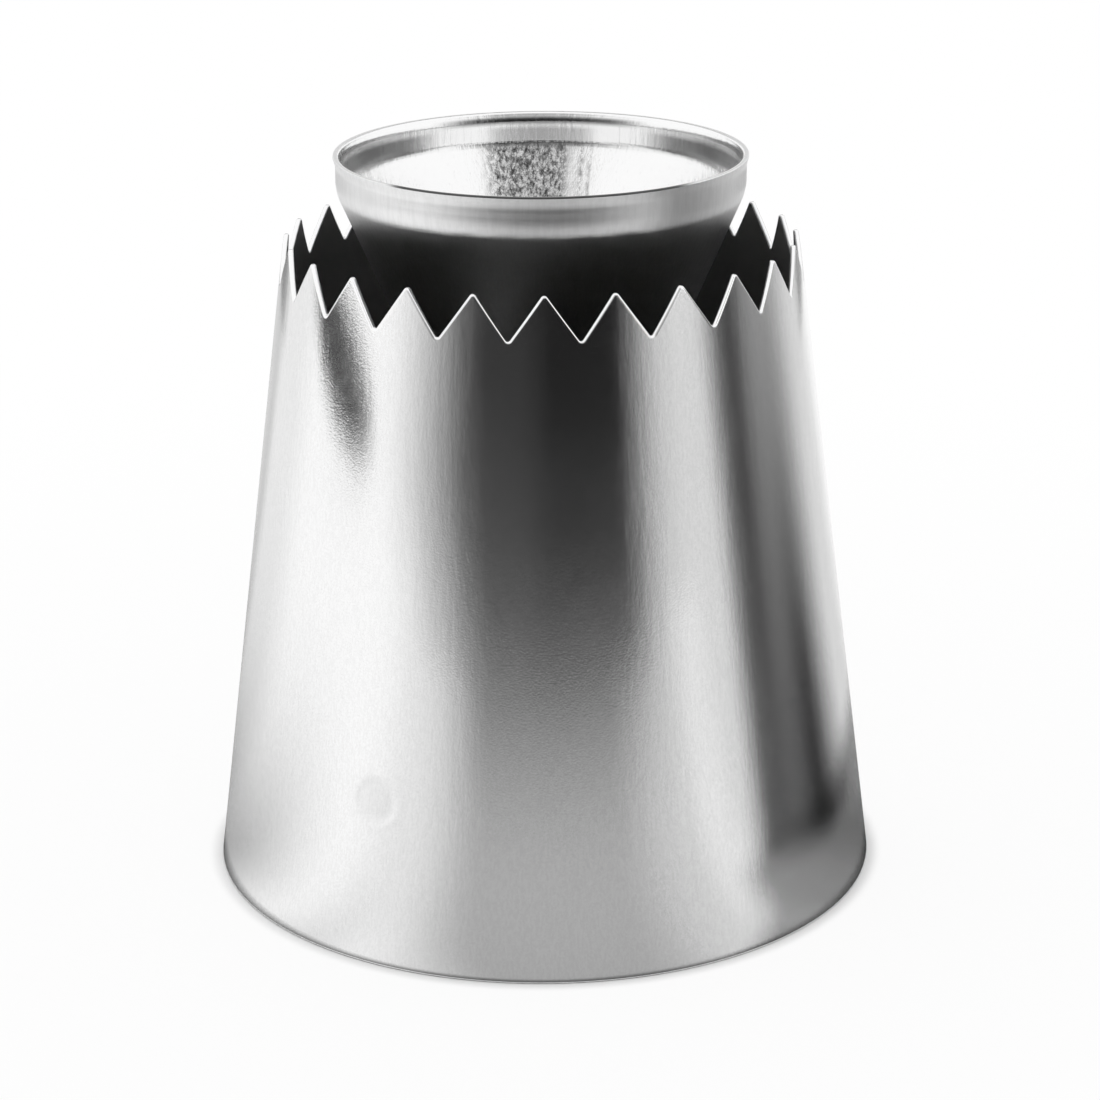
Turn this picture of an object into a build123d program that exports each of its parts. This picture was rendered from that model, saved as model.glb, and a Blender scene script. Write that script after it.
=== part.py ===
from build123d import *

import os
from math import atan2, ceil, cos, degrees, radians, sin, tan

# Ring nozzle for a piping bag: a toothed outer cone of thin sheet steel, an inner cone that
# plugs the middle of its mouth, and a strap inside that carries the inner cone by its tip.
# Millimetres. The origin is the centre of the round base that the nozzle stands on, +Z is up
# the nozzle's axis, and -Y faces the viewer.

# Outer cone
BASE_RADIUS = 32.5
MOUTH_RADIUS = 24.4
SHELL_HEIGHT = 62.8
SHELL_SHEET = 0.5

# Teeth cut into the mouth of the outer cone: the angle between a tooth's two flanks, and the
# width of the narrow flats that stand for its worn tip and for the root of a notch
TOOTH_COUNT = 24
TOOTH_ANGLE = 71.0
TOOTH_TIP_FLAT = 0.4
TOOTH_ROOT_FLAT = 0.25
FIRST_TOOTH_TURN = 0.5

# Inner cone
OVERALL_HEIGHT = 70.5
CUP_LIP_RADIUS = 19.6
CUP_WALL_RADIUS = 19.35
CUP_LIP_HEIGHT = 0.9
CUP_FLARE_ROUND = 2.0
CUP_KNEE_DEPTH = 3.3
CUP_KNEE_ROUND = 4.2
CUP_TAPER_ANGLE = 23.4
CUP_TIP_RADIUS = 2.2
CUP_TIP_ROUND = 1.0
CUP_SHEET = 0.5

# Strap that carries the inner cone, bent down into an ear at each end
STRAP_WIDTH = 8.0
STRAP_SHEET = 0.8
STRAP_BEND_ROUND = 2.4
STRAP_CORNER_ROUND = 2.0
STRAP_TURN = -120.6
EAR_FOOT_HEIGHT = 10.6

# Spot welds: one through each ear of the strap, and one through the inner cone's tip
EAR_WELD_HEIGHT = 15.6
EAR_WELD_RADIUS = 2.0
TIP_WELD_RADIUS = 0.9
WELD_DEPTH_SHARE = 0.5
EAR_MARK_RADIUS = 2.4
EAR_MARK_DEPTH = 0.1

# Gap between two curved sheets that lie on each other, and round a weld in its pocket
SEAT_CLEARANCE = 0.02

# How far a cutting tool runs past what it cuts
OVERRUN = 1.0

# Most that one straight step of a bend turns
BEND_STEP_ANGLE = 22.5

# The outer cone's slope, as the loss of radius for each unit of height
SHELL_SLOPE = (BASE_RADIUS - MOUTH_RADIUS) / SHELL_HEIGHT
SHELL_LEAN = degrees(atan2(BASE_RADIUS - MOUTH_RADIUS, SHELL_HEIGHT))

# Heights and slope of the inner cone
CUP_KNEE_HEIGHT = OVERALL_HEIGHT - CUP_KNEE_DEPTH
CUP_SLOPE = tan(radians(CUP_TAPER_ANGLE))
CUP_TIP_HEIGHT = CUP_KNEE_HEIGHT - (CUP_WALL_RADIUS - CUP_TIP_RADIUS) / CUP_SLOPE


def shell_radius(height, depth):
    """Radius of the outer cone at a height, measured a depth inwards from its outside."""
    return BASE_RADIUS - SHELL_SLOPE * height - depth / cos(radians(SHELL_LEAN))


def bent_outline(corners):
    """Closed half outline through corners that are each a radius, a height and a bend's
    radius. A bend is drawn in short straight steps, which keeps the turned form light."""
    places = [Vector(radius, 0, height) for radius, height, bend in corners]
    points = []
    for index, (radius, height, bend) in enumerate(corners):
        if bend == 0:
            points.append(places[index])
            continue
        before = (places[index] - places[index - 1]).normalized()
        after = (places[index + 1] - places[index]).normalized()
        inwards = (after - before * before.dot(after)).normalized()
        turn = radians(before.get_angle(after))
        start = places[index] - before * bend * tan(turn / 2)
        steps = ceil(degrees(turn) / BEND_STEP_ANGLE)
        for step in range(steps + 1):
            angle = turn * step / steps
            points.append(start + before * bend * sin(angle) + inwards * bend * (1 - cos(angle)))
    return Polyline(*points, close=True)


def drawn_sheet(corners, sheet, open_heights):
    """Sheet metal form: an outline turned about the axis, hollowed inwards to the sheet's
    thickness, and left open at its flat ends at the given heights."""
    solid = revolve(make_face(bent_outline(corners)), Axis.Z)
    ends = []
    for face in solid.faces().filter_by(GeomType.PLANE):
        if min(abs(face.center().Z - height) for height in open_heights) < SEAT_CLEARANCE:
            ends.append(face)
    return offset(solid, amount=-sheet, openings=ends, kind=Kind.INTERSECTION)


def wall_plane(height, depth):
    """Plane on the outer cone's wall in the strap's direction, facing outwards, a depth
    inwards from the outside."""
    outwards = (cos(radians(SHELL_LEAN)), 0, sin(radians(SHELL_LEAN)))
    origin = (shell_radius(height, depth), 0, height)
    return Plane(origin=origin, x_dir=(0, 1, 0), z_dir=outwards)


def electrode_foot(plane):
    """Tool for the shallow round mark that the flat electrode of an ear weld presses into a
    sheet's face. The plane lies on the face and looks away from the sheet."""
    foot = Plane.XY.offset(-EAR_MARK_DEPTH) * Circle(EAR_MARK_RADIUS)
    return plane * extrude(foot, EAR_MARK_DEPTH + OVERRUN)


def weld(plane, radius, outer_sheet, inner_sheet, clearance=0.0):
    """Fused metal of a spot weld: a round slug across the seam of two sheets, with the seam
    at the plane. It reaches the same share of the way into each sheet."""
    into_outer = outer_sheet * WELD_DEPTH_SHARE + clearance
    into_inner = inner_sheet * WELD_DEPTH_SHARE + clearance
    slug = extrude(Circle(radius + clearance), into_outer)
    slug += extrude(Circle(radius + clearance), -into_inner)
    return plane * slug


def both_ends(solid):
    """A solid at one end of the strap and its copy at the other end."""
    return [solid, Rot(0, 0, 180) * solid]


def along_strap(solids):
    """Solids drawn with the strap along X, turned with it into its place."""
    return [Rot(0, 0, STRAP_TURN) * solid for solid in solids]


# Seam of an ear weld with the outer cone's outside over it, and seam of the tip weld
ear_seam = wall_plane(EAR_WELD_HEIGHT, SHELL_SHEET)
ear_outside = wall_plane(EAR_WELD_HEIGHT, 0)
tip_seam = Plane.XY.offset(CUP_TIP_HEIGHT)


def make_shell():
    """Outer cone with its teeth, and the marks and pockets of the ear welds."""
    corners = [
        (0, 0, 0),
        (BASE_RADIUS, 0, 0),
        (MOUTH_RADIUS, SHELL_HEIGHT, 0),
        (0, SHELL_HEIGHT, 0),
    ]
    shell = drawn_sheet(corners, SHELL_SHEET, [0, SHELL_HEIGHT])

    # The seam of the turned cone goes to the middle of a tooth's flank, clear of its corners
    pitch_angle = 360 / TOOTH_COUNT
    shell = Rot(0, 0, pitch_angle / 4) * shell

    flare = tan(radians(TOOTH_ANGLE / 2))
    mouth_half_width = MOUTH_RADIUS * sin(radians(pitch_angle / 2)) - TOOTH_TIP_FLAT / 2
    notch_depth = (mouth_half_width - TOOTH_ROOT_FLAT / 2) / flare
    top_half_width = mouth_half_width + OVERRUN * flare
    notch = Polyline(
        (-TOOTH_ROOT_FLAT / 2, -notch_depth),
        (TOOTH_ROOT_FLAT / 2, -notch_depth),
        (top_half_width, OVERRUN),
        (-top_half_width, OVERRUN),
        close=True,
    )
    cutter = extrude(Plane.YZ * Pos(0, SHELL_HEIGHT, 0) * make_face(notch), BASE_RADIUS)
    turns = [FIRST_TOOTH_TURN + pitch_angle * (index + 1 / 2) for index in range(TOOTH_COUNT)]
    shell -= [Rot(0, 0, turn - 90) * cutter for turn in turns]

    pocket = weld(ear_seam, EAR_WELD_RADIUS, SHELL_SHEET, STRAP_SHEET, SEAT_CLEARANCE)
    return shell - along_strap(both_ends(pocket) + both_ends(electrode_foot(ear_outside)))


def make_cup():
    """Inner cone: flat tip, taper, knee, short wall and flared lip."""
    corners = [
        (0, CUP_TIP_HEIGHT, 0),
        (CUP_TIP_RADIUS, CUP_TIP_HEIGHT, CUP_TIP_ROUND),
        (CUP_WALL_RADIUS, CUP_KNEE_HEIGHT, CUP_KNEE_ROUND),
        (CUP_WALL_RADIUS, OVERALL_HEIGHT - CUP_LIP_HEIGHT, CUP_FLARE_ROUND),
        (CUP_LIP_RADIUS, OVERALL_HEIGHT, 0),
        (0, OVERALL_HEIGHT, 0),
    ]
    cup = drawn_sheet(corners, CUP_SHEET, [OVERALL_HEIGHT])
    return cup - weld(tip_seam, TIP_WELD_RADIUS, CUP_SHEET, STRAP_SHEET, SEAT_CLEARANCE)


def make_strap():
    """Strap: a hat pressed to follow the outer cone, of which only one strip is kept."""
    seat = SHELL_SHEET + SEAT_CLEARANCE
    corners = [
        (0, EAR_FOOT_HEIGHT, 0),
        (shell_radius(EAR_FOOT_HEIGHT, seat), EAR_FOOT_HEIGHT, 0),
        (shell_radius(CUP_TIP_HEIGHT, seat), CUP_TIP_HEIGHT, STRAP_BEND_ROUND),
        (0, CUP_TIP_HEIGHT, 0),
    ]
    hat = drawn_sheet(corners, STRAP_SHEET, [EAR_FOOT_HEIGHT])
    strap = hat & Box(2 * BASE_RADIUS, STRAP_WIDTH, 2 * OVERALL_HEIGHT)

    across_sheet = strap.edges().filter_by(GeomType.LINE).filter_by(Axis.X)
    corners = [edge for edge in across_sheet if edge.center().Z < EAR_FOOT_HEIGHT + SEAT_CLEARANCE]
    strap = fillet(corners, STRAP_CORNER_ROUND)

    ear_pocket = weld(ear_seam, EAR_WELD_RADIUS, SHELL_SHEET, STRAP_SHEET, SEAT_CLEARANCE)
    tip_pocket = weld(tip_seam, TIP_WELD_RADIUS, CUP_SHEET, STRAP_SHEET, SEAT_CLEARANCE)
    strap -= both_ends(ear_pocket) + [tip_pocket]
    return along_strap([strap])[0]


def make_ear_welds():
    """Slugs of fused metal that hold the strap's ears to the outer cone."""
    slug = weld(ear_seam, EAR_WELD_RADIUS, SHELL_SHEET, STRAP_SHEET)
    return Compound(along_strap(both_ends(slug)))


def make_tip_weld():
    """Slug of fused metal that holds the inner cone's tip to the strap."""
    return weld(tip_seam, TIP_WELD_RADIUS, CUP_SHEET, STRAP_SHEET)


NODES = {
    "outer_cone": make_shell,
    "inner_cone": make_cup,
    "bridge_strap": make_strap,
    "ear_weld_nuggets": make_ear_welds,
    "tip_weld_nugget": make_tip_weld,
}

os.makedirs("parts", exist_ok=True)
for name, make in NODES.items():
    export_step(make(), f"parts/{name}.step")
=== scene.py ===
from math import atan2, cos, pi, radians, sin, sqrt, tan

import bpy
import numpy as np
from mathutils import Matrix, Vector


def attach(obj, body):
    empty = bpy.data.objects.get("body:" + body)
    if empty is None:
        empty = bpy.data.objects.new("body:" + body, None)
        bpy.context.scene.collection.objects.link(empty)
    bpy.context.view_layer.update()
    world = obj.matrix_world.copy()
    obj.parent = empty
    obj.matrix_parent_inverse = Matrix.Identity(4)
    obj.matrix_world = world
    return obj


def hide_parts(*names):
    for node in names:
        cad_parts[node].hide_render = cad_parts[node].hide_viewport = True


# Ring nozzle for a piping bag, in satin sheet steel, standing on a white sweep. Metres. The
# origin is the centre of the nozzle's round base, +Z is up and -Y faces the camera.

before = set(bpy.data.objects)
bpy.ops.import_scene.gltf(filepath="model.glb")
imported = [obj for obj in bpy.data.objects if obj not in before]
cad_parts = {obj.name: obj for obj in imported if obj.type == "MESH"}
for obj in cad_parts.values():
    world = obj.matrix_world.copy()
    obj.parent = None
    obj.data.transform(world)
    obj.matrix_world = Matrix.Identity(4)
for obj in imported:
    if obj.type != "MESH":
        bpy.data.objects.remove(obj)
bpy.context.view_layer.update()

# Outer cone and its teeth
BASE_RADIUS = 0.0325
MOUTH_RADIUS = 0.0244
SHELL_HEIGHT = 0.0628
SHELL_SHEET = 0.0005
TOOTH_COUNT = 24
TOOTH_ANGLE = radians(71.0)
TOOTH_TIP_ROUND = 0.00035
TOOTH_ROOT_ROUND = 0.00025
FIRST_TOOTH_TURN = radians(0.5)
CUT_EDGE_ROUND = 0.00018
CUT_EDGE_BRUSHED = 0.35
BASE_EDGE_ROUND = 0.00018

# Inner cone
OVERALL_HEIGHT = 0.0705
CUP_LIP_RADIUS = 0.0196
CUP_WALL_RADIUS = 0.01935
CUP_LIP_HEIGHT = 0.0009
CUP_FLARE_ROUND = 0.002
CUP_KNEE_DEPTH = 0.0033
CUP_KNEE_ROUND = 0.0042
CUP_TAPER_ANGLE = radians(23.4)
CUP_TIP_RADIUS = 0.0022
CUP_TIP_ROUND = 0.001
CUP_SHEET = 0.0005
CUP_LIP_OUTER_ROUND = 0.00012
CUP_LIP_INNER_ROUND = 0.00028

# Strap and its spot welds
STRAP_WIDTH = 0.008
STRAP_SHEET = 0.0008
STRAP_BEND_ROUND = 0.0024
STRAP_CORNER_ROUND = 0.002
STRAP_EDGE_ROUND = 0.00015
STRAP_TURN = radians(-120.6)
EAR_FOOT_HEIGHT = 0.0106
EAR_WELD_HEIGHT = 0.0156
EAR_MARK_RADIUS = 0.0024
WELD_MARK_DEPTH = 0.00006
TIP_MARK_RADIUS = 0.0012
SEAT_CLEARANCE = 0.00002

# Rows of the outer cone's mesh: how far down from the cut edge its columns turn upright, the
# height below which the rows are level, and the close rows across the ear weld marks
EDGE_ZONE = 0.00028
LEVEL_ROWS_TOP = 0.052
FOOT_ROW_HEIGHTS = [0.0004, 0.001, 0.0035, 0.0065, 0.0095]
MARK_ROWS_REACH = 0.0034
MARK_ROWS_STEP = 0.0003
FIRST_ROW_OVER_MARKS = 0.0215

# Smallest distance between two neighbouring rows of points
ROW_GAP = 0.00002

SHELL_SLOPE = (BASE_RADIUS - MOUTH_RADIUS) / SHELL_HEIGHT
SHELL_LEAN = atan2(BASE_RADIUS - MOUTH_RADIUS, SHELL_HEIGHT)
CUP_KNEE_HEIGHT = OVERALL_HEIGHT - CUP_KNEE_DEPTH
CUP_TIP_HEIGHT = CUP_KNEE_HEIGHT - (CUP_WALL_RADIUS - CUP_TIP_RADIUS) / tan(CUP_TAPER_ANGLE)


def shell_radius(height, depth):
    """Radius of the outer cone at a height, a depth inwards from its outside, square to it."""
    return BASE_RADIUS - SHELL_SLOPE * height - depth / cos(SHELL_LEAN)


def around(radius, height, turn):
    """Points at a radius, a height and a turn about the Z axis: (r cos t, r sin t, z)."""
    radius, height, turn = np.broadcast_arrays(radius, height, turn)
    return np.stack([radius * np.cos(turn), radius * np.sin(turn), height], axis=-1)


def quarter(count):
    """Turns of a quarter circle, from 0 to a right angle."""
    return np.linspace(0, pi / 2, count)


def soft_step(value, low, high):
    """0 below low, 1 above high, and a smooth s-curve between: t^2 (3 - 2 t)."""
    share = np.clip((value - low) / (high - low), 0, 1)
    return share * share * (3 - 2 * share)


def between(value, rise_from, rise_to, fall_from, fall_to):
    """1 in the middle of a range, with a soft rise before it and a soft fall behind it."""
    return soft_step(value, rise_from, rise_to) * (1 - soft_step(value, fall_from, fall_to))


def dent(distance, radius):
    """Depth share of a pressed round mark: 1 in the middle, falling by an s-curve to 0 at
    its edge, with a slight raised rim just outside, exp(-d^2)."""
    fall, rim_place, rim_width, rim_height = 0.3 * radius, 1.08 * radius, 0.07 * radius, 0.15
    rim = np.exp(-(((distance - rim_place) / rim_width) ** 2))
    return soft_step(radius - distance, 0, fall) - rim_height * rim


# Meshes from whole grids of points


def grid_faces(rows, columns, closed_rows, closed_columns):
    """Corner numbers of the four-sided faces of a grid of points, row by row. A closed
    direction joins its last line of points to its first."""
    row = np.arange(rows if closed_rows else rows - 1)
    column = np.arange(columns if closed_columns else columns - 1)
    row, column = np.meshgrid(row, column, indexing="ij")
    next_row = (row + 1) % rows
    next_column = (column + 1) % columns
    corners = [row * columns + column, row * columns + next_column]
    corners += [next_row * columns + next_column, next_row * columns + column]
    return np.stack([c.ravel() for c in corners], axis=1)


def volume_of(points, triangles):
    """Signed volume inside a closed mesh: a sixth of the sum of a . (b x c)."""
    a, b, c = (points[triangles[:, i]] for i in range(3))
    return np.einsum("ij,ij->i", a, np.cross(b, c)).sum() / 6


def make_piece(name, points, quads, triangles, marks, material):
    """Closed smooth mesh object from an array of points, its quads and its triangles, with
    every face turned outwards. The marks are named values from 0 to 1 that each point
    carries for the finish."""
    quads = quads.reshape(-1, 4)
    triangles = triangles.reshape(-1, 3)
    every = np.concatenate([quads[:, [0, 1, 2]], quads[:, [0, 2, 3]], triangles])
    if volume_of(points, every) < 0:
        quads = quads[:, ::-1]
        triangles = triangles[:, ::-1]
    mesh = bpy.data.meshes.new(name)
    mesh.from_pydata(points.tolist(), [], quads.tolist() + triangles.tolist())
    mesh.polygons.foreach_set("use_smooth", np.ones(len(mesh.polygons), bool))
    for mark, value in marks.items():
        layer = mesh.attributes.new(mark, "FLOAT", "POINT")
        layer.data.foreach_set("value", np.asarray(value, np.float32).ravel())
    mesh.materials.append(material)
    mesh.update()
    piece = bpy.data.objects.new(name, mesh)
    bpy.context.scene.collection.objects.link(piece)
    return piece


# Finishes


class Finish:
    """A node material under construction. Each call adds one node and gives its output."""

    def __init__(self, name):
        self.material = bpy.data.materials.new(name)
        self.material.use_nodes = True
        self.tree = self.material.node_tree
        self.tree.nodes.clear()
        self.place = self.node("ShaderNodeTexCoord").outputs["Object"]

    def node(self, kind, **settings):
        made = self.tree.nodes.new(kind)
        for key, value in settings.items():
            setattr(made, key, value)
        return made

    def feed(self, socket, value):
        """Link an output to a socket, or set a plain value on it."""
        if isinstance(value, bpy.types.NodeSocket):
            self.tree.links.new(value, socket)
        else:
            socket.default_value = value

    def maths(self, kind, first, second):
        made = self.node("ShaderNodeMath", operation=kind)
        self.feed(made.inputs[0], first)
        self.feed(made.inputs[1], second)
        return made.outputs[0]

    def plus(self, first, second):
        return self.maths("ADD", first, second)

    def minus(self, first, second):
        return self.maths("SUBTRACT", first, second)

    def times(self, first, second):
        return self.maths("MULTIPLY", first, second)

    def larger(self, first, second):
        return self.maths("MAXIMUM", first, second)

    def above(self, value, limit):
        """1 where a value is over a limit, and 0 elsewhere."""
        return self.maths("GREATER_THAN", value, limit)

    def stretched(self, scale, turn=(0, 0, 0)):
        """The place on the piece, turned and scaled along each axis."""
        made = self.node("ShaderNodeMapping")
        self.feed(made.inputs["Vector"], self.place)
        made.inputs["Scale"].default_value = scale
        made.inputs["Rotation"].default_value = turn
        return made.outputs["Vector"]

    def noise(self, vector, scale, detail, roughness=0.5):
        made = self.node("ShaderNodeTexNoise")
        self.feed(made.inputs["Vector"], vector)
        made.inputs["Scale"].default_value = scale
        made.inputs["Detail"].default_value = detail
        made.inputs["Roughness"].default_value = roughness
        return made.outputs["Fac"]

    def span(self, value, from_low, from_high, to_low, to_high):
        """Carry a value from one range to another by an s-curve."""
        made = self.node("ShaderNodeMapRange", interpolation_type="SMOOTHSTEP")
        self.feed(made.inputs["Value"], value)
        made.inputs["From Min"].default_value = from_low
        made.inputs["From Max"].default_value = from_high
        made.inputs["To Min"].default_value = to_low
        made.inputs["To Max"].default_value = to_high
        return made.outputs["Result"]

    def blend(self, share, first, second):
        """From the first colour to the second by a share."""
        made = self.node("ShaderNodeMix", data_type="RGBA")
        self.feed(made.inputs["Factor"], share)
        self.feed(made.inputs[6], first)
        self.feed(made.inputs[7], second)
        return made.outputs[2]

    def mark(self, name):
        return self.node("ShaderNodeAttribute", attribute_name=name).outputs["Fac"]

    def bump(self, height, distance, under=None):
        """Relief of a height between 0 and 1 times a distance, on top of another relief."""
        made = self.node("ShaderNodeBump")
        made.inputs["Distance"].default_value = distance
        self.feed(made.inputs["Height"], height)
        if under is not None:
            self.feed(made.inputs["Normal"], under)
        return made.outputs["Normal"]

    def ring_direction(self):
        """Direction round the Z axis at each point: (-y, x, 0)."""
        split = self.node("ShaderNodeSeparateXYZ")
        self.feed(split.inputs[0], self.place)
        joined = self.node("ShaderNodeCombineXYZ")
        self.feed(joined.inputs[0], self.times(split.outputs[1], -1.0))
        self.feed(joined.inputs[1], split.outputs[0])
        return joined.outputs[0]

    def steel(self, colour, roughness, normal, drawn_out):
        """Metal whose reflections are drawn out sideways by a share."""
        shader = self.node("ShaderNodeBsdfPrincipled")
        shader.inputs["Metallic"].default_value = 1.0
        shader.inputs["Anisotropic"].default_value = drawn_out
        self.feed(shader.inputs["Base Color"], colour)
        self.feed(shader.inputs["Roughness"], roughness)
        self.feed(shader.inputs["Normal"], normal)
        self.feed(shader.inputs["Tangent"], self.ring_direction())
        output = self.node("ShaderNodeOutputMaterial")
        self.feed(output.inputs["Surface"], shader.outputs[0])
        return self.material


def grey(value):
    return (value, value, value, 1.0)


# Shades of what marks the steel, among them a painted dark reflection and painted shade in
# bands inside the inner cone, how far a weld's heat shows, and what heat and scratches add to
# the roughness
# Painted dark reflection inside the inner cone
PAINTED_REFLECTION_SHADE = 0.06
# Painted shade in bands inside the inner cone
PAINTED_BAND_SHADE = 0.2
HEATED_SHADE = 0.55
PIT_SHADE = 0.1
HEATED_SHARE = 0.18
HEATED_DULLING = 0.06
SCRATCH_DULLING = 0.12

# How deep a scratch is beside the grain, and the turns of the two sets of scratches
SCRATCH_DEPTH_SHARE = 0.6
SCRATCH_TURNS = [(0.5, 0.35, 0), (-0.3, -0.6, 0)]

# How many a metre: the grains of the speckle, the clouds in the sheen, the rings left by
# spinning and the flecks of the painted dark reflection. How far the clouds lower and raise
# the roughness
SPECKLE_COUNT = 5500
CLOUD_COUNT = 90
RING_COUNT = 2600
FLECK_COUNT = 2300
SHEEN_FALL = 0.02
SHEEN_RISE = 0.03


def scratches(finish, turn):
    """Sparse straight hairline scratches: the peaks of a fine noise drawn out along a turned
    axis."""
    drawn, count = 40, 5200
    wave = finish.noise(finish.stretched((1, 1, 1 / drawn), turn), count, 0)
    return finish.span(wave, 0.74, 0.8, 0, 1)


def pits(finish):
    """Tiny round pits, one in a few of the cells of a cell pattern."""
    cell_count, left_out, core, edge = 110, 0.7, 0.01, 0.018
    cells = finish.node("ShaderNodeTexVoronoi")
    finish.feed(cells.inputs["Vector"], finish.place)
    cells.inputs["Scale"].default_value = cell_count
    chosen = finish.above(cells.outputs["Color"], left_out)
    return finish.times(finish.span(cells.outputs["Distance"], core, edge, 1, 0), chosen)


def satin_steel(
    name, dark, light, within, edge, sheen, sheen_within, hairs, hair_length, hair_lean,
    hair_share, grain_relief, ring_relief, wave_relief, wave_relief_within, waves, wave_along,
    scratched, scratched_within, pitted, drawn_out,
):
    """Rolled and brushed sheet: short hairs with a fine speckle between them, slow clouds in
    the sheen, shallow waves, spinning rings, hairline scratches, a few pits, and cut edges
    and heat marks in shades of their own. Names that end in within are for the inside of the
    piece. Shades: dark, light, within and edge. Roughness: sheen. Hairs, a metre, are
    hair_length times as long as wide, lean about the Y axis and have a share beside the
    speckle. Reliefs are in metres. Waves, a metre, have the share wave_along of that along
    Z. Scratched and pitted are shares. Drawn_out is how far reflections are drawn out
    sideways. Marks on the mesh say where it is inside, on a cut edge, where a dark reflection
    is painted in, where shade is painted in bands, and where it is heated. On the inner cone
    the edge shade is painted shade along the lip."""
    finish = Finish(name)
    inside = finish.mark("inside")
    grain = finish.noise(
        finish.stretched((1, 1, 1 / hair_length), (0, hair_lean, 0)), hairs, 2, 0.6)
    speckle = finish.noise(finish.place, SPECKLE_COUNT, 1, 0.6)
    clouds = finish.noise(finish.place, CLOUD_COUNT, 4, 0.6)
    texture = finish.plus(
        finish.times(grain, hair_share), finish.times(speckle, 1 - hair_share))
    lines = finish.larger(*[scratches(finish, turn) for turn in SCRATCH_TURNS])
    lines = finish.times(lines, finish.span(inside, 0, 1, scratched, scratched_within))
    holes = finish.times(pits(finish), finish.span(inside, 0, 1, pitted, 0))
    reflection_mottle = finish.noise(finish.stretched((1, 1, 0.5), (0, 0.3, 0)), FLECK_COUNT, 4, 0.85)
    reflection_mottle = finish.times(finish.span(reflection_mottle, 0.36, 0.64, 0, 1), finish.mark("painted_reflection"))
    heated = finish.mark("weld_heat")

    colour = finish.blend(finish.span(texture, 0.4, 0.6, 0, 1), grey(dark), grey(light))
    colour = finish.blend(inside, colour, grey(within))
    # Blotchy painted dark reflection where the mark says
    colour = finish.blend(reflection_mottle, colour, grey(PAINTED_REFLECTION_SHADE))
    # Painted shade in bands where the mark says
    colour = finish.blend(finish.mark("painted_bands"), colour, grey(PAINTED_BAND_SHADE))
    # Edge shade: wear on cut edges, and on the inner cone painted shade along the lip, darkest at
    # the front
    edge_wear_and_lip_shade = finish.plus(finish.mark("edge"), finish.span(clouds, 0.3, 0.55, -0.25, 0))
    colour = finish.blend(finish.span(edge_wear_and_lip_shade, 0.25, 0.75, 0, 1), colour, grey(edge))
    colour = finish.blend(finish.times(heated, HEATED_SHARE), colour, grey(HEATED_SHADE))
    colour = finish.blend(holes, colour, grey(PIT_SHADE))

    roughness = finish.span(clouds, 0.3, 0.7, sheen - SHEEN_FALL, sheen + SHEEN_RISE)
    roughness = finish.plus(roughness, finish.span(inside, 0, 1, 0, sheen_within - sheen))
    roughness = finish.plus(roughness, finish.times(lines, SCRATCH_DULLING))
    roughness = finish.plus(roughness, finish.times(heated, HEATED_DULLING))

    deepest = max(wave_relief, wave_relief_within)
    swell = finish.noise(finish.stretched((1, 1, wave_along)), waves, 3, 0.65)
    depth = finish.span(inside, 0, 1, wave_relief / deepest, wave_relief_within / deepest)
    normal = finish.bump(finish.times(swell, depth), deepest)
    rings = finish.noise(finish.stretched((0.015, 0.015, 1)), RING_COUNT, 2, 0.6)
    normal = finish.bump(rings, ring_relief, normal)
    height = finish.minus(texture, finish.times(lines, SCRATCH_DEPTH_SHARE))
    height = finish.minus(height, holes)
    normal = finish.bump(height, grain_relief, normal)
    return finish.steel(colour, roughness, normal, drawn_out)


# Its within shade of 0.6 is painted shade that darkens the inside of the outer cone
outer_steel = satin_steel(
    "outer_cone_satin_steel",
    dark=0.91, light=0.965, within=0.6, edge=0.97,
    sheen=0.11, sheen_within=0.4, drawn_out=0.5,
    hairs=4500, hair_length=5, hair_lean=0, hair_share=0.5,
    grain_relief=6.5e-6, ring_relief=0.0,
    wave_relief=22e-6, wave_relief_within=6e-6, waves=350, wave_along=0.12,
    scratched=0.1, scratched_within=0.1, pitted=1,
)
# Its dark edge shade is painted shade along the lip, strongest at the front
inner_steel = satin_steel(
    "inner_cone_spun_steel",
    dark=0.9, light=0.95, within=0.97, edge=0.1,
    sheen=0.305, sheen_within=0.17, drawn_out=0.87,
    hairs=2400, hair_length=7, hair_lean=0.75, hair_share=0.85,
    grain_relief=6e-6, ring_relief=9e-6,
    wave_relief=6e-6, wave_relief_within=45e-6, waves=1300, wave_along=0.2,
    scratched=0.05, scratched_within=0.7, pitted=0,
)
strap_steel = satin_steel(
    "strap_mill_steel",
    dark=0.42, light=0.55, within=0.5, edge=0.6,
    sheen=0.4, sheen_within=0.4, drawn_out=0.3,
    hairs=5200, hair_length=3, hair_lean=0, hair_share=0.5,
    grain_relief=8e-6, ring_relief=0.0,
    wave_relief=5e-6, wave_relief_within=5e-6, waves=400, wave_along=0.5,
    scratched=0.5, scratched_within=0.5, pitted=0,
)
weld_steel = satin_steel(
    "weld_dull_steel",
    dark=0.38, light=0.5, within=0.5, edge=0.5,
    sheen=0.5, sheen_within=0.5, drawn_out=0.0,
    hairs=5200, hair_length=1, hair_lean=0, hair_share=0.5,
    grain_relief=10e-6, ring_relief=0.0,
    wave_relief=8e-6, wave_relief_within=8e-6, waves=600, wave_along=1,
    scratched=0, scratched_within=0, pitted=0,
)


# Outer cone with its teeth


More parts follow.
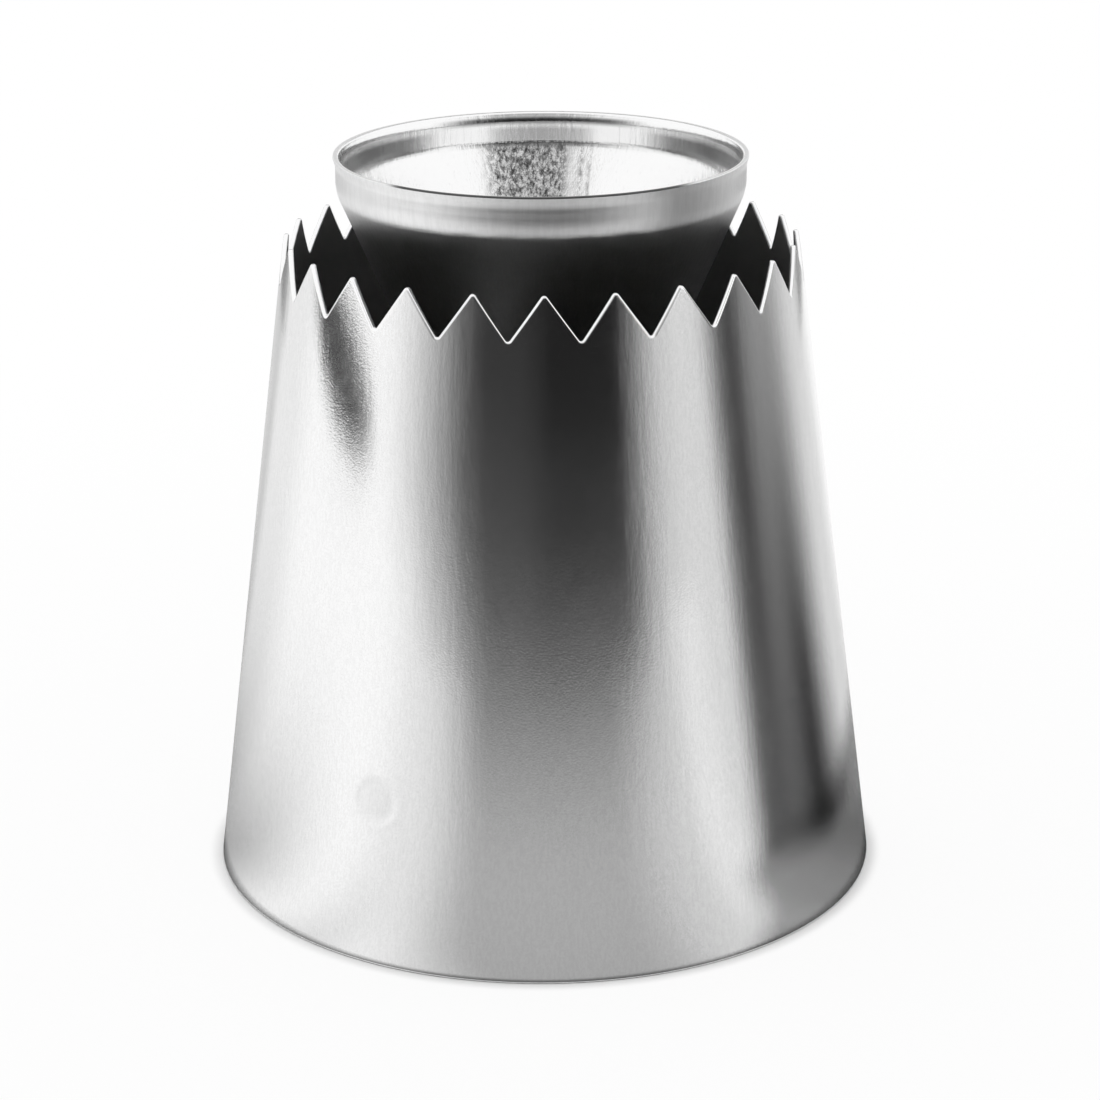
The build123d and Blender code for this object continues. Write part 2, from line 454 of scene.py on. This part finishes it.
def tooth_edge():
    """The cut edge over one tooth, from the middle of one notch to just before the middle
    of the next: distance along the rim, height, and the slope angle of the edge. A round
    root, a straight flank and a round tip, then the same mirrored."""
    half_pitch = MOUTH_RADIUS * sin(pi / TOOTH_COUNT)
    steepest = (pi - TOOTH_ANGLE) / 2
    flank_along = half_pitch - (TOOTH_ROOT_ROUND + TOOTH_TIP_ROUND) * sin(steepest)
    rounds_rise = (TOOTH_ROOT_ROUND + TOOTH_TIP_ROUND) * (1 - cos(steepest))
    root_height = SHELL_HEIGHT - rounds_rise - flank_along * tan(steepest)

    lean = np.linspace(0, steepest, 6)
    root_along = TOOTH_ROOT_ROUND * np.sin(lean)
    root_up = root_height + TOOTH_ROOT_ROUND * (1 - np.cos(lean))
    tip_along = half_pitch - TOOTH_TIP_ROUND * np.sin(lean[::-1])
    tip_up = SHELL_HEIGHT - TOOTH_TIP_ROUND * (1 - np.cos(lean[::-1]))
    share = np.linspace(0, 1, 12)[1:-1]
    flank_s = root_along[-1] + (tip_along[0] - root_along[-1]) * share
    flank_z = root_up[-1] + (tip_up[0] - root_up[-1]) * share

    along = np.concatenate([root_along, flank_s, tip_along])
    up = np.concatenate([root_up, flank_z, tip_up])
    slope = np.concatenate([lean, np.full(len(share), steepest), lean[::-1]])
    along = np.concatenate([along, 2 * half_pitch - along[-2:0:-1]])
    up = np.concatenate([up, up[-2:0:-1]])
    slope = np.concatenate([slope, -slope[-2:0:-1]])
    return along, up, slope, half_pitch


def ear_mark_distances(points):
    """How far each point is from the middle of each of the two ear weld marks."""
    turns = STRAP_TURN + pi * np.arange(2)
    centres = around(shell_radius(EAR_WELD_HEIGHT, 0), EAR_WELD_HEIGHT, turns)
    return [np.linalg.norm(points - centre, axis=-1) for centre in centres]


def toothed_cone():
    """Closed sheet of revolution with a zigzag mouth. Each column runs up the outside, over
    the cut edge with its two small rounds, down the inside and under the base. A row of
    the edge is the zigzag moved a distance back into the metal, square to its own slope."""
    along, up, slope, half_pitch = tooth_edge()
    places = len(along)
    rows = []

    def edge_row(back, depth):
        s = along + back * np.sin(slope)
        z = up - back * np.cos(slope)
        rows.append((s, z, depth + np.zeros(places), 1.0))

    column_s = along + EDGE_ZONE * np.sin(slope)
    column_top = up - EDGE_ZONE * np.cos(slope)

    def level_row(height, depth):
        rows.append((column_s, np.full(places, height), np.full(places, depth), 0.0))

    def rising_row(share, depth, worn=0.0):
        z = LEVEL_ROWS_TOP + (column_top - LEVEL_ROWS_TOP) * share
        rows.append((column_s, z, np.full(places, depth), worn))

    base_depth = BASE_EDGE_ROUND * (1 - np.sin(quarter(5)))
    base_height = BASE_EDGE_ROUND * (1 - np.cos(quarter(5)))
    for depth, height in zip(base_depth, base_height):
        level_row(height, depth)
    low, high = EAR_WELD_HEIGHT - MARK_ROWS_REACH, EAR_WELD_HEIGHT + MARK_ROWS_REACH
    over_marks = np.linspace(FIRST_ROW_OVER_MARKS, LEVEL_ROWS_TOP, 12)
    for height in [*FOOT_ROW_HEIGHTS, *np.arange(low, high, MARK_ROWS_STEP), *over_marks]:
        level_row(height, 0)
    for share in (0.25, 0.5, 0.75, 0.9):
        rising_row(share, 0)
    rising_row(1.0, 0, worn=0.5)

    edge_round = CUT_EDGE_ROUND * (1 + CUT_EDGE_BRUSHED * slope / np.max(slope))
    for a in quarter(4):
        edge_row(edge_round * (1 - sin(a)), edge_round * (1 - cos(a)))
    edge_row(0, SHELL_SHEET / 2)
    for a in quarter(4)[::-1]:
        edge_row(edge_round * (1 - sin(a)), SHELL_SHEET - edge_round * (1 - cos(a)))

    for share in (1.0, 0.9, 0.6, 0.3):
        rising_row(share, SHELL_SHEET)
    for height in np.linspace(LEVEL_ROWS_TOP, 0.001, 14):
        level_row(height, SHELL_SHEET)
    for depth, height in zip(base_depth[::-1], base_height[::-1]):
        level_row(height, SHELL_SHEET - depth)

    s = np.array([row[0] for row in rows])
    z = np.array([row[1] for row in rows])
    depth = np.array([row[2] for row in rows])
    edge = np.array([row[3] for row in rows])[:, None]
    pitch = 2 * pi / TOOTH_COUNT
    first_notch = FIRST_TOOTH_TURN - pi / 2 - pitch / 2
    tooth = np.arange(TOOTH_COUNT)
    theta = first_notch + pitch * tooth[None, :, None] + (s * pitch / (2 * half_pitch))[:, None, :]
    height = np.broadcast_to(z[:, None, :], theta.shape)
    radius = np.broadcast_to(shell_radius(z, depth)[:, None, :], theta.shape)
    points = around(radius, height, theta).reshape(len(rows), -1, 3)

    distances = ear_mark_distances(points)
    pressed = sum(WELD_MARK_DEPTH * dent(distance, EAR_MARK_RADIUS) for distance in distances)
    heated = sum(np.exp(-((distance / EAR_MARK_RADIUS) ** 4)) for distance in distances)
    outside = depth[:, :1] < SHELL_SHEET / 2
    outwards = around(cos(SHELL_LEAN), sin(SHELL_LEAN), theta.reshape(len(rows), -1))
    points = points - outwards * (pressed * outside)[..., None]
    within = depth[:, places // 4, None] > 0.7 * SHELL_SHEET
    marks = {
        "inside": np.broadcast_to(within, heated.shape),
        "edge": np.broadcast_to(edge, heated.shape),
        "weld_heat": heated,
    }
    quads = grid_faces(points.shape[0], points.shape[1], True, True)
    no_triangles = np.empty((0, 3), int)
    return make_piece(
        "toothed_outer_cone", points.reshape(-1, 3), quads, no_triangles, marks, outer_steel)


# Inner cone


def bent_profile(corners, bend_steps, straight_steps):
    """Half outline through corners given as radius, height and bend radius: its points and
    the unit normals on their right-hand side. A bend is an arc tangent to both sides."""
    places = [np.array(corner[:2], float) for corner in corners]
    points, normals = [places[0]], []
    for index in range(1, len(corners)):
        before = places[index] - places[index - 1]
        before /= np.linalg.norm(before)
        right = np.array([before[1], -before[0]])
        if not normals:
            normals.append(right)
        bend = corners[index][2]
        end, turn = places[index], 0.0
        if index < len(corners) - 1:
            after = places[index + 1] - places[index]
            after /= np.linalg.norm(after)
            turn = atan2(before[0] * after[1] - before[1] * after[0], before @ after)
            end = places[index] - before * bend * tan(abs(turn) / 2)
        start = points[-1]
        for share in np.linspace(0, 1, straight_steps + 1)[1:]:
            points.append(start + (end - start) * share)
            normals.append(right)
        if turn:
            side = np.sign(turn)
            centre = end - right * bend * side
            for angle in np.linspace(0, turn, bend_steps + 1)[1:]:
                c, s = cos(angle), sin(angle)
                turned = np.array([right[0] * c - right[1] * s, right[0] * s + right[1] * c])
                points.append(centre + turned * bend * side)
                normals.append(turned)
    return np.array(points), np.array(normals)


def cap_fans(rows, columns):
    """Triangles that close both ends of a grid of points whose columns run round. The two
    middle points come after the grid's own."""
    ring = np.arange(columns)
    ahead = (ring + 1) % columns
    last_row = (rows - 1) * columns
    first_middle = np.full(columns, rows * columns)
    first = np.stack([first_middle, ahead, ring], axis=1)
    last = np.stack([first_middle + 1, last_row + ring, last_row + ahead], axis=1)
    return np.concatenate([first, last])


def cup_outline():
    """Half outline of the inner cone's sheet, with the numbers of points on the outside and
    on each round of the lip. The lip's rounds are quarter circles."""
    corners = [
        (0, CUP_TIP_HEIGHT, 0),
        (CUP_TIP_RADIUS, CUP_TIP_HEIGHT, CUP_TIP_ROUND),
        (CUP_WALL_RADIUS, CUP_KNEE_HEIGHT, CUP_KNEE_ROUND),
        (CUP_WALL_RADIUS, OVERALL_HEIGHT - CUP_LIP_HEIGHT, CUP_FLARE_ROUND),
        (CUP_LIP_RADIUS, OVERALL_HEIGHT, 0),
    ]
    outside, normals = bent_profile(corners, 10, 14)
    inside = outside - normals * CUP_SHEET
    outer_foot = OVERALL_HEIGHT - CUP_LIP_OUTER_ROUND
    inner_foot = OVERALL_HEIGHT - CUP_LIP_INNER_ROUND
    outside = outside[outside[:, 1] < outer_foot - ROW_GAP]
    inside = inside[inside[:, 1] < inner_foot - ROW_GAP]
    lean = (CUP_LIP_RADIUS - CUP_WALL_RADIUS) / CUP_LIP_HEIGHT
    outer_start = CUP_LIP_RADIUS - CUP_LIP_OUTER_ROUND * lean
    inner_start = CUP_LIP_RADIUS - CUP_LIP_INNER_ROUND * lean - CUP_SHEET * sqrt(1 + lean ** 2)
    a = quarter(6)
    outer_round = np.stack([
        outer_start - CUP_LIP_OUTER_ROUND * (1 - np.cos(a)),
        outer_foot + CUP_LIP_OUTER_ROUND * np.sin(a),
    ], axis=1)
    inner_round = np.stack([
        inner_start + CUP_LIP_INNER_ROUND * (1 - np.cos(a)),
        inner_foot + CUP_LIP_INNER_ROUND * np.sin(a),
    ], axis=1)[::-1]
    outline = np.concatenate([outside, outer_round, inner_round, inside[::-1]])
    floor = outline[:, 1] > CUP_TIP_HEIGHT + CUP_SHEET / 2
    outline[:, 1] -= np.where(floor, WELD_MARK_DEPTH * dent(outline[:, 0], TIP_MARK_RADIUS), 0)
    return outline, len(outside), len(a)


def cup_marks(turn, up, outside_count, round_count):
    """Marks on the inner cone, by the turn of each column and the height of each row: painted
    shade along the lip's edge, darkest at the front, painted shade in bands inside on the
    upright wall and in the flare at the back, and a blotchy painted dark reflection down the
    back of the taper, with two streaks beside it."""
    row = np.arange(len(up))[:, None]
    edge = (row >= outside_count - 1) & (row <= outside_count + round_count + 3)
    within = row > outside_count + round_count
    from_back = np.degrees((turn - pi / 2 + pi) % (2 * pi) - pi)
    sideways = np.abs(from_back)
    towards_front = -np.cos(np.radians(from_back))
    # Painted shade along the lip's edge, darkest at the front
    painted_front_shade = 0.15 + 0.85 * soft_step(towards_front, 0.62, 0.86)

    below_top = OVERALL_HEIGHT - up
    wall = soft_step(up - CUP_KNEE_HEIGHT, -0.0002, 0.0004)
    upright = wall * soft_step(below_top, 0.0012, 0.0018)
    flared = between(below_top, 0.0003, 0.0007, 0.0009, 0.0014)
    middle = 1 - soft_step(sideways, 11, 19)
    ends = between(sideways, 30, 46, 86, 120)
    # Painted shade in bands on the upright wall and in the flare, in place of what the wall
    # mirrors
    band_shade = upright * (0.5 * middle + 0.8 * ends)
    band_shade = band_shade + flared * 0.85 * (1 - soft_step(sideways, 20, 36))
    # Painted dark reflection down the back of the taper, with two streaks beside it
    reflected_wedge = between(from_back, -10, -6, 14, 20)
    for streak, strength in ((-12.8, 0.8), (-15.6, 0.6)):
        reflected_wedge = reflected_wedge + strength * np.exp(-(((from_back - streak) / 0.7) ** 2))
    grids = {
        "inside": within,
        "edge": edge * painted_front_shade,
        "painted_reflection": reflected_wedge * within * (1 - wall),
        "painted_bands": band_shade * within,
    }
    return {name: np.broadcast_to(grid, (len(up), len(turn))) for name, grid in grids.items()}


def spun_cup():
    """Closed sheet turned about the Z axis: the outline runs from the tip up the outside,
    over the rounded lip, and down the inside at the sheet's thickness."""
    outline, outside_count, round_count = cup_outline()
    columns = 480
    turn = np.arange(columns) * 2 * pi / columns
    rings = outline[1:-1]
    points = around(rings[:, :1], rings[:, 1:], turn[None, :])
    poles = around(0, outline[[0, -1], 1], 0)
    marks = cup_marks(turn, rings[:, 1:], outside_count, round_count)
    on_poles = {"inside": [0, 1], "edge": [0, 0], "painted_reflection": [0, 0], "painted_bands": [0, 0]}
    marks = {name: np.append(marks[name].ravel(), on_poles[name]) for name in marks}
    quads = grid_faces(len(rings), columns, False, True)
    points = np.concatenate([points.reshape(-1, 3), poles])
    caps = cap_fans(len(rings), columns)
    return make_piece("spun_inner_cone", points, quads, caps, marks, inner_steel)


# Strap


def strap_loop():
    """Closed loop round the strap's cross-section, from one side's top corner over the face,
    down the far edge and back along the underside: places across the width as a share of
    the flat part, what the rounded edge adds to them, and depths in the sheet."""
    a = quarter(4)[1:]
    flat = np.linspace(-1, 1, 23)
    top = np.zeros(len(flat))
    side = np.ones(2 * len(a))
    edge_out = STRAP_EDGE_ROUND * np.sin(a)
    edge_down = STRAP_EDGE_ROUND * (1 - np.cos(a))
    share = np.concatenate([flat, side, flat[::-1], -side])
    added = np.concatenate([edge_out, [STRAP_EDGE_ROUND], edge_out[-2::-1]])
    added = np.concatenate([top, added, top, -added])
    down = np.concatenate([edge_down, STRAP_SHEET - edge_down[::-1]])
    depth = np.concatenate([top, down, top + STRAP_SHEET, down[::-1]])
    return share, added, depth


def bent_strap():
    """Closed strip swept over a hat outline from one foot to the other. A point at a path
    place (r, z), a distance across w and a depth d lies at r' = r - d n_r, z' = z - d n_z
    and x = sqrt(r'^2 - w^2), so the ears follow the round wall. On the flat bridge x runs
    evenly to the middle. The feet have round corners and small round edges."""
    seat = SHELL_SHEET + SEAT_CLEARANCE
    corners = [
        (shell_radius(EAR_FOOT_HEIGHT, seat), EAR_FOOT_HEIGHT, 0),
        (shell_radius(CUP_TIP_HEIGHT, seat), CUP_TIP_HEIGHT, STRAP_BEND_ROUND),
        (0, CUP_TIP_HEIGHT, 0),
    ]
    path, normals = bent_profile(corners, 10, 34)
    foot_way = np.linalg.norm(path - path[0], axis=1)
    a = quarter(7)
    near = STRAP_CORNER_ROUND * (1 - np.cos(a))
    near = np.unique(np.concatenate([near, STRAP_EDGE_ROUND * (1 - np.cos(quarter(4)))]))
    keep = foot_way > near[-1] + 5 * ROW_GAP
    ways = np.concatenate([near, foot_way[keep]])
    along_wall = (path[1] - path[0]) / np.linalg.norm(path[1] - path[0])
    path = np.concatenate([path[0] + near[:, None] * along_wall, path[keep]])
    normals = np.concatenate([np.repeat(normals[:1], len(near), axis=0), normals[keep]])

    short = np.clip(STRAP_CORNER_ROUND - ways, 0, None)
    half_width = STRAP_WIDTH / 2 - STRAP_CORNER_ROUND
    half_width = half_width + np.sqrt(STRAP_CORNER_ROUND ** 2 - short ** 2)
    left = np.clip(STRAP_EDGE_ROUND - ways, 0, None)
    inset = STRAP_EDGE_ROUND - np.sqrt(STRAP_EDGE_ROUND ** 2 - left ** 2)

    share, added, depth = strap_loop()
    across = share * (half_width - inset - STRAP_EDGE_ROUND)[:, None] + added
    depth = inset[:, None] + depth * (1 - 2 * inset / STRAP_SHEET)[:, None]
    radius = path[:, :1] - depth * normals[:, :1]
    height = path[:, 1:] - depth * normals[:, 1:]
    flat_start = np.argmax(normals[:, 1] > 1 - 1e-9)
    bridge = np.ones(len(path))
    bridge[flat_start:] = path[flat_start:, 0] / path[flat_start, 0]
    radius[flat_start:] = path[flat_start, 0]
    forth = np.sqrt(radius ** 2 - across ** 2) * bridge[:, None]

    weld = np.array([shell_radius(EAR_WELD_HEIGHT, seat + STRAP_SHEET), 0, EAR_WELD_HEIGHT])
    half = np.stack([forth, across, height], axis=-1)
    pressed = WELD_MARK_DEPTH * dent(np.linalg.norm(half - weld, axis=-1), EAR_MARK_RADIUS)
    pressed *= depth > STRAP_SHEET / 2
    half[..., 0] += pressed * normals[:, :1]
    half[..., 2] += pressed * normals[:, 1:]
    other = half[-2::-1] * np.array([-1, 1, 1])
    points = np.concatenate([half, other])

    c, s = cos(STRAP_TURN), sin(STRAP_TURN)
    points = points @ np.array([[c, s, 0], [-s, c, 0], [0, 0, 1]])
    rows, columns = points.shape[:2]
    quads = grid_faces(rows, columns, False, True)
    middles = np.stack([points[0].mean(axis=0), points[-1].mean(axis=0)])
    points = np.concatenate([points.reshape(-1, 3), middles])
    edge = np.broadcast_to(added != 0, (rows, columns))
    marks = {"edge": np.append(edge.ravel(), [1, 1])}
    caps = cap_fans(rows, columns)
    return make_piece("bent_bridge_strap", points, quads, caps, marks, strap_steel)


# Put the pieces on the nozzle


def put(piece, node):
    """Let a piece take the place of one plain node."""
    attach(piece, "root")
    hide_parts(node)


put(toothed_cone(), "outer_cone")
put(spun_cup(), "inner_cone")
put(bent_strap(), "bridge_strap")
for name in ("ear_weld_nuggets", "tip_weld_nugget"):
    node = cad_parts[name]
    node.data.materials.clear()
    node.data.materials.append(weld_steel)


# Stage, light and camera


def show(name, points, faces, material):
    """A piece of the set, which isn't part of the nozzle."""
    mesh = bpy.data.meshes.new(name)
    mesh.from_pydata(points, [], faces)
    mesh.materials.append(material)
    thing = bpy.data.objects.new(name, mesh)
    bpy.context.scene.collection.objects.link(thing)
    return thing


# Shade of the dark cards that the steel mirrors, and how far off they stand
DARK_CARD = 0.006
ROOM_RADIUS = 0.25
SIDES_RADIUS = 0.29
FAR_RADIUS = 0.3
BEHIND_RADIUS = 0.28

# Heights of the lying cards over the floor, one above the other
CARD_LIFT = 0.0001
CARD_GAP = 0.00002


def card_material(name):
    """Flat matt dark card that thins out to nothing with its cover."""
    material = bpy.data.materials.new(name)
    material.use_nodes = True
    tree = material.node_tree
    tree.nodes.clear()
    cover = tree.nodes.new("ShaderNodeAttribute")
    cover.attribute_name = "cover"
    clear = tree.nodes.new("ShaderNodeBsdfTransparent")
    flat = tree.nodes.new("ShaderNodeEmission")
    flat.inputs["Color"].default_value = grey(DARK_CARD)
    mixed = tree.nodes.new("ShaderNodeMixShader")
    output = tree.nodes.new("ShaderNodeOutputMaterial")
    tree.links.new(cover.outputs["Fac"], mixed.inputs[0])
    tree.links.new(clear.outputs[0], mixed.inputs[1])
    tree.links.new(flat.outputs[0], mixed.inputs[2])
    tree.links.new(mixed.outputs[0], output.inputs["Surface"])
    return material


def card(name, points, cover):
    """Studio card with soft edges, from a grid of points and how far each covers what is
    behind. Only the steel mirrors it: it isn't seen itself and throws no shadow."""
    rows, columns = cover.shape
    faces = grid_faces(rows, columns, False, False)
    thing = show(name, points.reshape(-1, 3).tolist(), faces.tolist(), card_material(name))
    layer = thing.data.attributes.new("cover", "FLOAT", "POINT")
    layer.data.foreach_set("value", cover.ravel().astype(np.float32))
    thing.visible_camera = False
    thing.visible_diffuse = False
    thing.visible_transmission = False
    thing.visible_volume_scatter = False
    thing.visible_shadow = False


def facing(turn):
    """Turn about the Z axis of a direction given in degrees from the camera's side, positive
    to the right."""
    return np.radians(turn) - pi / 2


def standing_card(name, turns, radius_of, heights, cover_of):
    """Upright card round the nozzle, whose radius may change with the turn. Turns in degrees
    from the camera's side."""
    turn, height = np.meshgrid(np.linspace(*turns, 121), np.linspace(*heights, 61))
    radius = radius_of(turn) if callable(radius_of) else radius_of
    card(name, around(radius, height, facing(turn)), cover_of(turn, height))


def lying_card(name, turns, reach, layer, cover_of):
    """Card that lies round the nozzle from its base out to a reach, in one of the layers
    just above the floor."""
    turn, radius = np.meshgrid(np.linspace(*turns, 121), np.linspace(BASE_RADIUS, reach, 61))
    lift = CARD_LIFT + CARD_GAP * layer
    card(name, around(radius, lift, facing(turn)), cover_of(turn, radius))


def bell(value, middle, width):
    """1 at the middle and falling softly to both sides: exp(-((v - m) / w)^2)."""
    return np.exp(-(((value - middle) / width) ** 2))


def near_base(radius, width):
    """1 at the nozzle's base and fading outwards: exp(-distance / width)."""
    return np.exp(-(radius - BASE_RADIUS) / width)


# How dark each card is, by the turn in degrees from the camera's side, positive to the right,
# and by the height or the distance from the axis. Pairs of numbers are where a soft edge
# begins and ends.


def front_wall(turn, height):
    """Dark room behind the camera: darkest to the right of the middle, lighter towards the
    floor, narrower high up, and with its left-hand side further in low down."""
    left_edge, right_edge, darker_from = (-70, -22), (28, 57), (-9, 5)
    high_up, top_edge, low_down = (0.09, 0.17), (0.21, 0.35), (0.004, 0.03)
    light = 0.028 - 0.022 * soft_step(turn, *darker_from)
    light = light + 0.12 * np.exp(-(height - 0.004) / 0.0145)
    shift = 7 * (1 - soft_step(height, *low_down))
    sides = soft_step(turn - shift, *left_edge) * (1 - soft_step(turn, *right_edge))
    narrow = between(turn, -38, -16, 22, 42)
    sides = sides * (1 - soft_step(height, *high_up) * (1 - 0.5 * narrow))
    return (1 - light) * sides * (1 - soft_step(height, *top_edge))


def front_table_shade(turn, radius):
    """Grey table top in front of the nozzle with painted shade on it, darker towards the wall,
    with a thin grey to either side."""
    left_edge, right_edge = (-48, -17), (20, 58)
    deep = 0.58 + 0.23 * soft_step(radius, 0.07, 0.27)
    close = near_base(radius, 0.012)
    middle = soft_step(turn - 12 * close, *left_edge)
    middle = middle * (1 - soft_step(turn + 6 * close, *right_edge))
    return deep * middle + 0.15 * bell(np.abs(turn), 45, 9)


def right_level_wall(turn, height):
    """The right-hand side is lit a little less."""
    return 0.31 * between(turn, 34, 56, 130, 160)


def right_level_floor(turn, radius):
    """And so is its floor, from a little further round."""
    return 0.3 * between(turn, 46, 64, 130, 160)


def left_level(turn, place):
    """So is the left-hand side behind the nozzle, wall and floor alike."""
    near_back = 0.27 * between(turn, -178, -166, -147, -134)
    return near_back + 0.14 * between(turn, -165, -138, -122, -100)


def left_table(turn, radius):
    """Shade on the floor close to the left-hand side."""
    return 0.57 * between(turn, -165, -140, -90, -56) * near_base(radius, 0.045)


def base_shade(turn, radius):
    """Contact shade round the base, once wide and soft, once narrow and dark."""
    return 0.08 * near_base(radius, 0.02) + 0.7 * near_base(radius, 0.0004)


def right_card(turn, height):
    """Dark thing close by on the right: a dark stripe at its near edge, a body that thins
    out upwards, a second and darker stripe low down, and a soft far side."""
    near_edge, foot, low_stripe_end = (51, 61), (0.0003, 0.0045), (0.008, 0.05)
    up = height / 0.056
    body = 0.855 - 0.26 * up ** 1.5
    near_stripe = bell(turn, 64, 3.8 + 2.5 * up)
    low_stripe = bell(turn, 79, 6) * (1 - soft_step(height, *low_stripe_end))
    body = body + (0.865 + 0.065 * up - body) * near_stripe
    body = body + (0.955 - body) * low_stripe
    far_side = 1 - soft_step((turn - 78) / (24 + 8 * np.exp(-height / 0.008)), 0, 1)
    return soft_step(height, *foot) * soft_step(turn + 2 * up, *near_edge) * far_side * body


def right_card_radius(turn):
    """The dark thing's distance from the axis, nearer at its far side."""
    return 0.048 - 0.006 * soft_step(turn, 60, 84)


def right_patch(turn, radius):
    """Its shade on the floor."""
    near_edge, far_edge, outer_edge = (48, 62), (118, 150), (0.05, 0.07)
    near_side = soft_step(turn + 18 * near_base(radius, 0.0065), *near_edge)
    deep = 0.6 + 0.18 * bell(turn, 92, 18)
    far_side = 1 - soft_step(turn, *far_edge)
    return deep * near_side * far_side * (1 - soft_step(radius, *outer_edge))


def left_blot(turn, height):
    """Small dark leaning oval far off on the left, just above the floor."""
    half_width, half_height, middle_height = 21.5, 0.0136, 0.0262
    middle = -88 - 560 * (height - 0.022)
    away = np.hypot((turn - middle) / half_width, (height - middle_height) / half_height)
    return 0.95 * (1 - soft_step(away, 0.6, 1.12))


def back_sky(turn, height):
    """Grey ceiling far behind, which only the inside of the inner cone mirrors."""
    sides = 1 - soft_step(np.abs(turn - 180), 26, 52)
    return 0.42 * sides * between(height, 0.14, 0.2, 0.5, 0.7)


def back_strips(turn, height):
    """Upright grey strips behind the nozzle, to either side."""
    sides = between(np.abs(turn - 180), 16, 28, 34, 46)
    return 0.6 * sides * (1 - soft_step(height, 0.06, 0.11))


standing_card("front_wall", (-72, 60), ROOM_RADIUS, (0, 0.36), front_wall)
lying_card("front_table_shade", (-72, 72), ROOM_RADIUS, 0, front_table_shade)
lying_card("right_level_floor", (30, 165), SIDES_RADIUS, 1, right_level_floor)
standing_card("right_level_wall", (30, 165), SIDES_RADIUS, (0, 0.06), right_level_wall)
lying_card("left_level_floor", (-178, -85), SIDES_RADIUS, 2, left_level)
standing_card("left_level_wall", (-178, -85), SIDES_RADIUS, (0, 0.06), left_level)
lying_card("left_table", (-165, -45), 0.2, 2.5, left_table)
lying_card("base_shade", (-180, 180), 0.12, 3, base_shade)
standing_card("right_card", (46, 146), right_card_radius, (0.0002, 0.068), right_card)
lying_card("right_patch", (32, 155), 0.08, 4, right_patch)
standing_card("left_blot", (-120, -64), FAR_RADIUS, (0, 0.06), left_blot)
standing_card("back_sky", (120, 240), FAR_RADIUS, (0.12, 0.72), back_sky)
standing_card("back_strips", (130, 230), BEHIND_RADIUS, (0, 0.12), back_strips)


# Shade of the floor and of the painted shade under the nozzle, and how much of the floor is
# the white of the surround close by and far off
FLOOR_SHADE = 0.9
PAINTED_SHADE_UNDER = 0.06
WHITE_CLOSE = 0.88
WHITE_FAR = 0.12

# Half the floor's side, and how far it lies under the nozzle
FLOOR_REACH = 4.0
FLOOR_DROP = 0.00002


def floor_material():
    """White floor. Close to the nozzle it is a matt white that keeps the nozzle's shadow,
    and away from it it turns into the white of the surround. Under the nozzle it is dark with
    painted shade.
    Seen from below, and for what is mirrored then, it is clear."""
    finish = Finish("white_sweep")
    rays = finish.node("ShaderNodeLightPath").outputs
    seen = finish.larger(rays["Is Camera Ray"], rays["Is Glossy Ray"])
    seen = finish.larger(seen, rays["Is Transmission Ray"])
    length = finish.node("ShaderNodeVectorMath", operation="LENGTH")
    finish.feed(length.inputs[0], finish.place)
    away = length.outputs["Value"]
    outside = finish.span(away, BASE_RADIUS - 0.0005, BASE_RADIUS + 0.0001, 0, 1)
    near = finish.span(away, BASE_RADIUS, BASE_RADIUS + 0.0015, 0, WHITE_CLOSE)
    far = finish.span(away, 0.04, 0.2, 0, WHITE_FAR)
    share = finish.times(finish.plus(near, far), seen)
    matt = finish.node("ShaderNodeBsdfDiffuse")
    shade = finish.blend(outside, grey(PAINTED_SHADE_UNDER), grey(FLOOR_SHADE))
    finish.feed(matt.inputs["Color"], shade)
    glow = finish.node("ShaderNodeEmission")
    glow.inputs["Strength"].default_value = 1.0
    clear = finish.node("ShaderNodeBsdfTransparent")
    below = finish.node("ShaderNodeNewGeometry").outputs["Backfacing"]
    passed = finish.above(rays["Transparent Depth"], 0.5)
    upper = finish.node("ShaderNodeMixShader")
    finish.feed(upper.inputs[0], share)
    finish.feed(upper.inputs[1], matt.outputs[0])
    finish.feed(upper.inputs[2], glow.outputs[0])
    whole = finish.node("ShaderNodeMixShader")
    finish.feed(whole.inputs[0], finish.larger(below, passed))
    finish.feed(whole.inputs[1], upper.outputs[0])
    finish.feed(whole.inputs[2], clear.outputs[0])
    output = finish.node("ShaderNodeOutputMaterial")
    finish.feed(output.inputs["Surface"], whole.outputs[0])
    return finish.material


floor_corners = [
    (-FLOOR_REACH, -FLOOR_REACH, -FLOOR_DROP),
    (FLOOR_REACH, -FLOOR_REACH, -FLOOR_DROP),
    (FLOOR_REACH, FLOOR_REACH, -FLOOR_DROP),
    (-FLOOR_REACH, FLOOR_REACH, -FLOOR_DROP),
]
show("floor", floor_corners, [(0, 1, 2, 3)], floor_material())

world = bpy.data.worlds.new("white_surround")
bpy.context.scene.world = world
world.use_nodes = True
background = world.node_tree.nodes["Background"]
background.inputs["Color"].default_value = grey(1.0)
background.inputs["Strength"].default_value = 1.0

# Camera, from the fitted view of the photograph: its place, the way it looks, and its roll
CAMERA_LENS = 101.70
CAMERA_SENSOR = 36.0
CAMERA_PLACE = (0.0, -0.288190, 0.131494)
CAMERA_FORWARD = Vector((0.00217739, 0.94401652, -0.32989099)).normalized()
CAMERA_ROLL = -0.00525

camera_data = bpy.data.cameras.new("camera")
camera_data.lens = CAMERA_LENS
camera_data.sensor_width = CAMERA_SENSOR
camera = bpy.data.objects.new("camera", camera_data)
bpy.context.scene.collection.objects.link(camera)
level = CAMERA_FORWARD.cross(Vector((0, 0, 1))).normalized()
upright = level.cross(CAMERA_FORWARD)
right = level * cos(CAMERA_ROLL) + upright * sin(CAMERA_ROLL)
up = upright * cos(CAMERA_ROLL) - level * sin(CAMERA_ROLL)
turned = Matrix((right, up, -CAMERA_FORWARD)).transposed()
camera.matrix_world = Matrix.Translation(CAMERA_PLACE) @ turned.to_4x4()
bpy.context.scene.camera = camera
bpy.context.scene.view_settings.view_transform = "Standard"
